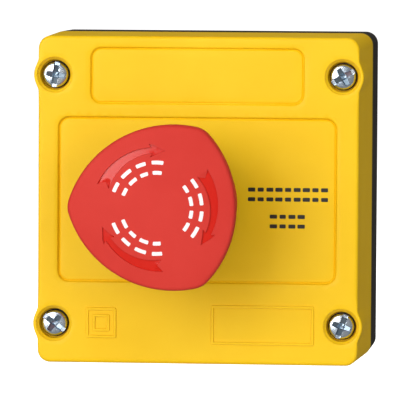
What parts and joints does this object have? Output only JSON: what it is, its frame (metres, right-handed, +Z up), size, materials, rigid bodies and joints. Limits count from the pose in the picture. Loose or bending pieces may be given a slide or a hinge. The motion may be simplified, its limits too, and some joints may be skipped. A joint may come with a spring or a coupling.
{
  "type": "emergency stop button",
  "caption": "Wall-mounted emergency stop box: red twist-to-release mushroom button on a yellow cover over a dark base, with opening contact blocks inside.",
  "frame": {"origin": "middle of the base's back face, which lies on the wall", "axes": "+Y into the wall, so the button faces -Y; +Z up; +X to the right seen from the front"},
  "size_m": [0.08, 0.0903, 0.08],
  "materials": {
    "yellow_plastic": "satin, fine grain",
    "dark_plastic": "satin, fine grain",
    "red_plastic": "satin",
    "white_plastic": "satin",
    "grey_plastic": "satin",
    "block_red": "satin",
    "black_rubber": "matte",
    "zinc_steel": "bright zinc",
    "spring_steel": "drawn wire",
    "cast_zinc": "die-cast",
    "brass": "turned",
    "contact_alloy": "stamped, silver tips"
  },
  "bodies": {
    "housing": {"base_housing": "dark_plastic", "cover": "yellow_plastic", "cover_gasket": "black_rubber", "cover_screws": "zinc_steel", "screw_seals": "black_rubber", "post_inserts": "brass", "operator_bezel": "dark_plastic", "bezel_gasket": "black_rubber", "lock_washer": "zinc_steel", "ring_nut": "cast_zinc", "contact_holder": "grey_plastic", "return_spring": "spring_steel", "latch_spring_left": "spring_steel", "block_body_left": "grey_plastic", "block_lid_left": "block_red", "bridge_spring_left": "spring_steel", "fixed_contacts_left": "contact_alloy", "terminal_screws_left": "zinc_steel", "wire_clamps_left": "zinc_steel", "latch_spring_right": "spring_steel", "block_body_right": "grey_plastic", "block_lid_right": "block_red", "bridge_spring_right": "spring_steel", "fixed_contacts_right": "contact_alloy", "terminal_screws_right": "zinc_steel", "wire_clamps_right": "zinc_steel"},
    "plunger": {"plunger_stem": "white_plastic", "stem_seal": "black_rubber", "torsion_spring": "spring_steel"},
    "head": {"mushroom_head": "red_plastic", "rotor": "white_plastic", "rotor_clip": "spring_steel"},
    "contact_left": {"pusher_left": "white_plastic", "bridge_left": "contact_alloy"},
    "latch_left": {"latch_pin_left": "zinc_steel"},
    "contact_right": {"pusher_right": "white_plastic", "bridge_right": "contact_alloy"},
    "latch_right": {"latch_pin_right": "zinc_steel"}
  },
  "joints": [
    {"name": "press", "type": "slide", "parent": "housing", "child": "plunger", "axis": [0, 1, 0], "range_m": [0, 0.0055], "stiffness_N_per_m": 900, "springref_m": -0.008, "deforming": ["return_spring"]},
    {"name": "twist_release", "type": "hinge", "parent": "plunger", "child": "head", "pos_m": [-0.0065, -0.08, 0], "axis": [0, 1, 0], "range_deg": [0, 40], "stiffness_Nm_per_rad": 0.04, "springref_deg": -28.65, "deforming": ["torsion_spring"]},
    {"name": "contact_left_open", "type": "slide", "parent": "housing", "child": "contact_left", "axis": [0, 1, 0], "range_m": [0, 0.0055], "deforming": ["bridge_spring_left"]},
    {"name": "contact_right_open", "type": "slide", "parent": "housing", "child": "contact_right", "axis": [0, 1, 0], "range_m": [0, 0.0055], "deforming": ["bridge_spring_right"]},
    {"name": "latch_left_move", "type": "slide", "parent": "housing", "child": "latch_left", "axis": [1, 0, 0], "range_m": [0, 0.00165], "deforming": ["latch_spring_left"]},
    {"name": "latch_right_move", "type": "slide", "parent": "housing", "child": "latch_right", "axis": [-1, 0, 0], "range_m": [0, 0.00165], "deforming": ["latch_spring_right"]}
  ],
  "couplings": [
    {"joint": "contact_left_open", "follows": "press", "ratio": 1},
    {"joint": "contact_right_open", "follows": "press", "ratio": 1},
    {"joint": "latch_left_move", "follows": "press", "ratio": 0.3},
    {"joint": "latch_right_move", "follows": "press", "ratio": 0.3}
  ]
}
